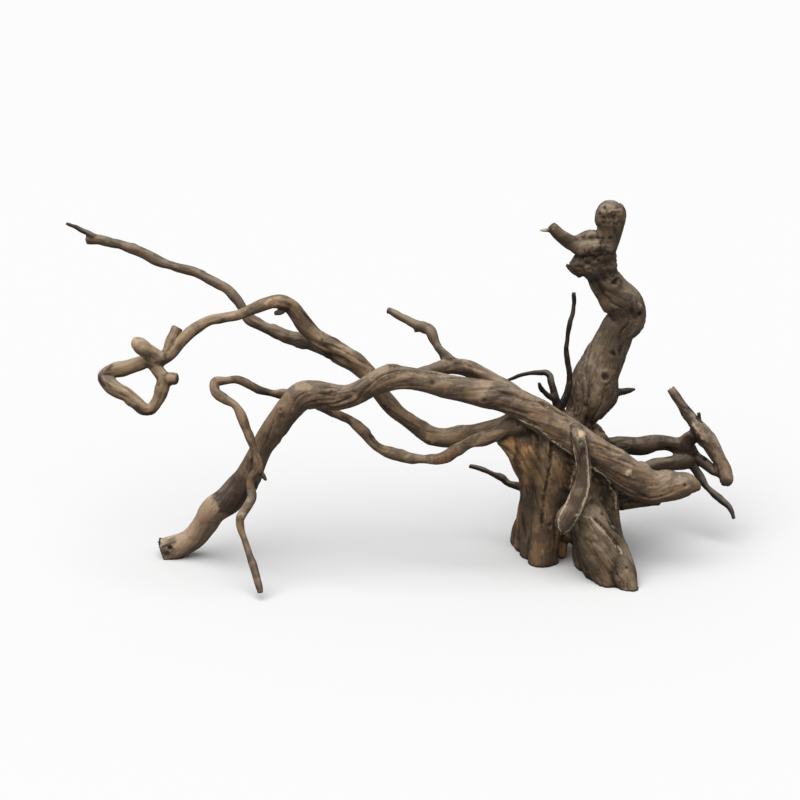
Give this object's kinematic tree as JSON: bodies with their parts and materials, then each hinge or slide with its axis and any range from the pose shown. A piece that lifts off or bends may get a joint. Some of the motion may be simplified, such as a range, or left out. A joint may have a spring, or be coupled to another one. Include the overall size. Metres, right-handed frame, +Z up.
{
  "type": "spiderwood root",
  "caption": "Weathered spiderwood root with a squat trunk on sawn feet, a long arched arm that reaches the ground, an upright stump and thin curling rootlets, for an aquarium or display.",
  "frame": {"origin": "on the ground, under the middle of the bounding box", "axes": "+X to the right along the root's length, +Y to the back, +Z up"},
  "size_m": [0.5842, 0.2106, 0.3114],
  "materials": {
    "weathered_wood": "weathered, dry, unsealed wood with dark crevices"
  },
  "bodies": {
    "root": {"spiderwood_root": "weathered_wood"}
  },
  "joints": []
}
